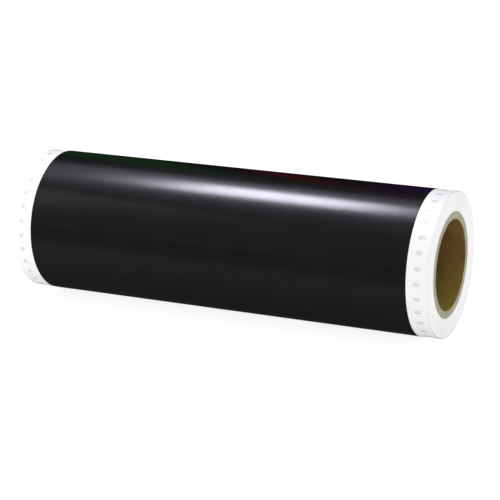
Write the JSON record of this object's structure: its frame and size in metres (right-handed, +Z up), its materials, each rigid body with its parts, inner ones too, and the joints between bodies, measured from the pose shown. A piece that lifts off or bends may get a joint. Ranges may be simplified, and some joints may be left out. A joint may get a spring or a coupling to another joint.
{
  "type": "roll of sign vinyl",
  "caption": "Roll of black sign-making film on a wider white release liner with punched margins, wound on a paper core, with a tail that peels off the roll.",
  "frame": {"origin": "middle of the core's bore, on the roll's axis and halfway between its end faces", "axes": "+X along the core, +Y to the back, where the tail hangs, and +Z up; the roll lies on its side"},
  "size_m": [0.381, 0.1235, 0.1233],
  "materials": {
    "vinyl_film": "satin black calendered film",
    "release_liner": "smooth white silicone-coated paper",
    "wound_web": "slit edges of wound liner and film",
    "core_liner_paper": "smooth brown kraft paper",
    "core_board": "matt grey-brown core board",
    "core_face_paper": "smooth kraft paper",
    "starter_tape": "double-sided tape",
    "paper_tape": "creped paper tape"
  },
  "bodies": {
    "roll": {"core_inner_ply": "core_liner_paper", "core_board_ply_1": "core_board", "core_board_ply_2": "core_board", "core_board_ply_3": "core_board", "core_board_ply_4": "core_board", "core_board_ply_5": "core_board", "core_board_ply_6": "core_board", "core_outer_ply": "core_face_paper", "starter_tape": "starter_tape", "inner_turns": "wound_web", "liner_outer_turns": "release_liner", "film_outer_turns": "vinyl_film"},
    "tail_1": {"tail_liner_1": "release_liner", "tail_film_1": "vinyl_film"},
    "tail_2": {"tail_liner_2": "release_liner", "tail_film_2": "vinyl_film"},
    "tail_3": {"tail_liner_3": "release_liner", "tail_film_3": "vinyl_film"},
    "tail_4": {"tail_liner_4": "release_liner", "tail_film_4": "vinyl_film"},
    "tail_5": {"tail_liner_5": "release_liner", "tail_film_5": "vinyl_film"},
    "tail_6": {"tail_liner_6": "release_liner", "tail_film_6": "vinyl_film"},
    "tail_7": {"tail_liner_7": "release_liner", "tail_film_7": "vinyl_film"},
    "tail_8": {"tail_liner_8": "release_liner", "tail_film_8": "vinyl_film"},
    "tail_9": {"tail_liner_9": "release_liner", "tail_film_9": "vinyl_film"},
    "tail_10": {"tail_liner_10": "release_liner", "tail_film_10": "vinyl_film", "tail_tape_left": "paper_tape", "tail_tape_right": "paper_tape"}
  },
  "joints": [
    {"name": "tail_peel_1", "type": "hinge", "parent": "roll", "child": "tail_1", "pos_m": [0, 0.02549, 0.05627], "axis": [1, 0, 0], "range_deg": [0, 11.81]},
    {"name": "tail_peel_2", "type": "hinge", "parent": "tail_1", "child": "tail_2", "pos_m": [0, 0.03647, 0.04988], "axis": [1, 0, 0], "range_deg": [0, 11.81]},
    {"name": "tail_peel_3", "type": "hinge", "parent": "tail_2", "child": "tail_3", "pos_m": [0, 0.04591, 0.04137], "axis": [1, 0, 0], "range_deg": [0, 11.81]},
    {"name": "tail_peel_4", "type": "hinge", "parent": "tail_3", "child": "tail_4", "pos_m": [0, 0.05341, 0.03111], "axis": [1, 0, 0], "range_deg": [0, 11.81]},
    {"name": "tail_peel_5", "type": "hinge", "parent": "tail_4", "child": "tail_5", "pos_m": [0, 0.05865, 0.01953], "axis": [1, 0, 0], "range_deg": [0, 11.81]},
    {"name": "tail_peel_6", "type": "hinge", "parent": "tail_5", "child": "tail_6", "pos_m": [0, 0.06141, 0.00713], "axis": [1, 0, 0], "range_deg": [0, 11.81]},
    {"name": "tail_peel_7", "type": "hinge", "parent": "tail_6", "child": "tail_7", "pos_m": [0, 0.06157, -0.0056], "axis": [1, 0, 0], "range_deg": [0, 11.81]},
    {"name": "tail_peel_8", "type": "hinge", "parent": "tail_7", "child": "tail_8", "pos_m": [0, 0.05912, -0.0181], "axis": [1, 0, 0], "range_deg": [0, 11.81]},
    {"name": "tail_peel_9", "type": "hinge", "parent": "tail_8", "child": "tail_9", "pos_m": [0, 0.05416, -0.02984], "axis": [1, 0, 0], "range_deg": [0, 11.81]},
    {"name": "tail_peel_10", "type": "hinge", "parent": "tail_9", "child": "tail_10", "pos_m": [0, 0.0469, -0.04031], "axis": [1, 0, 0], "range_deg": [0, 11.81]}
  ],
  "couplings": [
    {"joint": "tail_peel_2", "follows": "tail_peel_1", "ratio": 1},
    {"joint": "tail_peel_3", "follows": "tail_peel_1", "ratio": 1},
    {"joint": "tail_peel_4", "follows": "tail_peel_1", "ratio": 1},
    {"joint": "tail_peel_5", "follows": "tail_peel_1", "ratio": 1},
    {"joint": "tail_peel_6", "follows": "tail_peel_1", "ratio": 1},
    {"joint": "tail_peel_7", "follows": "tail_peel_1", "ratio": 1},
    {"joint": "tail_peel_8", "follows": "tail_peel_1", "ratio": 1},
    {"joint": "tail_peel_9", "follows": "tail_peel_1", "ratio": 1},
    {"joint": "tail_peel_10", "follows": "tail_peel_1", "ratio": 1}
  ]
}
